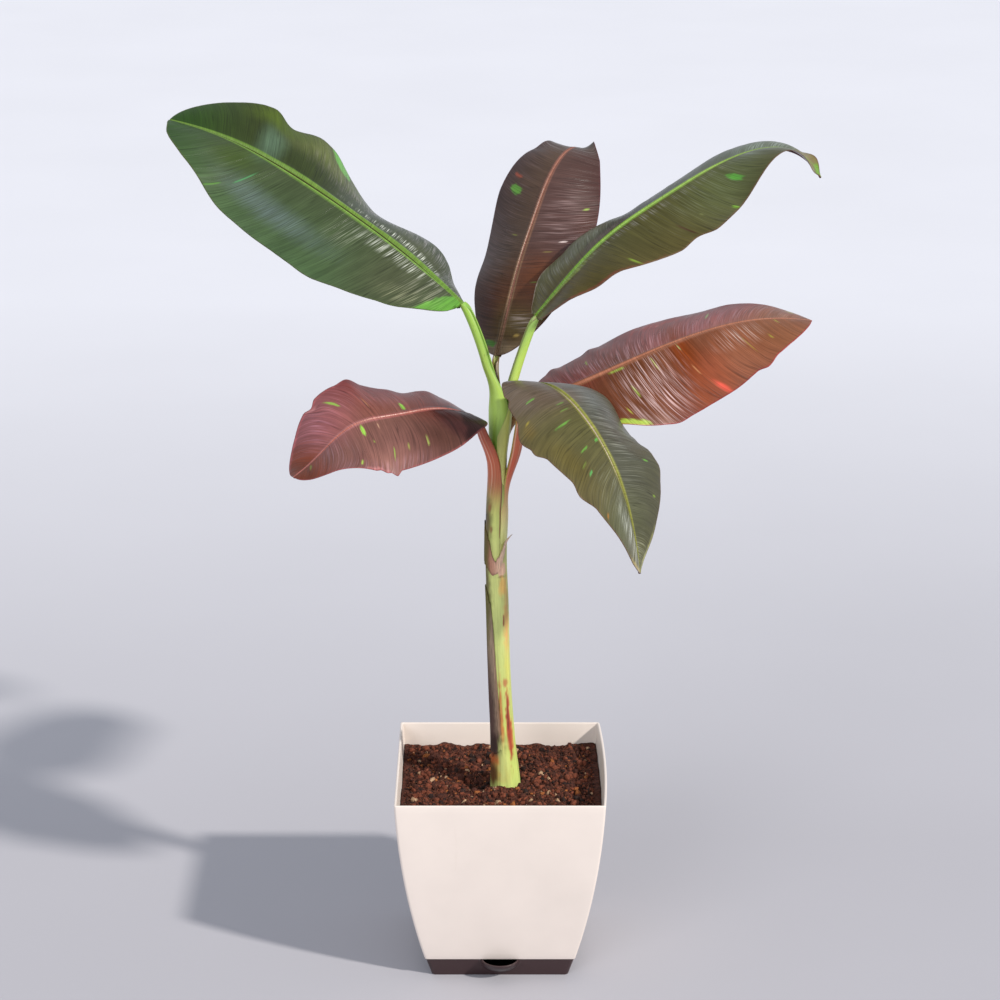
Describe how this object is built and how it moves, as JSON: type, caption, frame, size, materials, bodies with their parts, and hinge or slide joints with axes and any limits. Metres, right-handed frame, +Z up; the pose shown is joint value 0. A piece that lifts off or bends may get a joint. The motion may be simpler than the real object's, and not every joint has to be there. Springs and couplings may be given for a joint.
{
  "type": "potted red banana plant",
  "caption": "Young banana plant with a slender trunk and broad red and green leaves, in a square tapered planter on a drip tray with a filler spout.",
  "frame": {"origin": "middle of the drip tray's flat underside, on the floor", "axes": "+Z up along the trunk, -Y the front, where the tray's filler spout is, +X to the right"},
  "size_m": [0.7674, 0.4553, 1.0164],
  "materials": {
    "tray_plastic": "dark brown moulded plastic, satin",
    "pot_plastic": "cream moulded plastic, soft gloss",
    "soil": "dark red-brown coir and compost, rough and moist",
    "stem": "pale green rolled sheaths with fine ribs and brown scars",
    "dry_sheath": "dry brown papery sheath",
    "stalk_green": "bright green smooth stalk",
    "stalk_red": "red-brown stalk with paler edges",
    "leaf_green": "deep green blade with a waxy sheen, lime flecks and a pale midrib",
    "leaf_red": "maroon to brick-red blade with lime flecks, a waxy sheen and a pink midrib"
  },
  "bodies": {
    "root": {"drip_tray": "tray_plastic", "pot": "pot_plastic", "soil": "soil", "pseudostem": "stem", "torn_collar": "dry_sheath", "dry_sheath": "dry_sheath", "stalk_upper_left": "stalk_green", "stalk_upper_right": "stalk_green", "stalk_back": "stalk_green", "stalk_right": "stalk_green", "stalk_front_left": "stalk_red", "stalk_front_right": "stalk_red", "leaf_upper_left": "leaf_green", "leaf_upper_right": "leaf_green", "leaf_back": "leaf_red", "leaf_right": "leaf_red", "leaf_front_left": "leaf_red", "leaf_front_right": "leaf_green"}
  },
  "joints": []
}
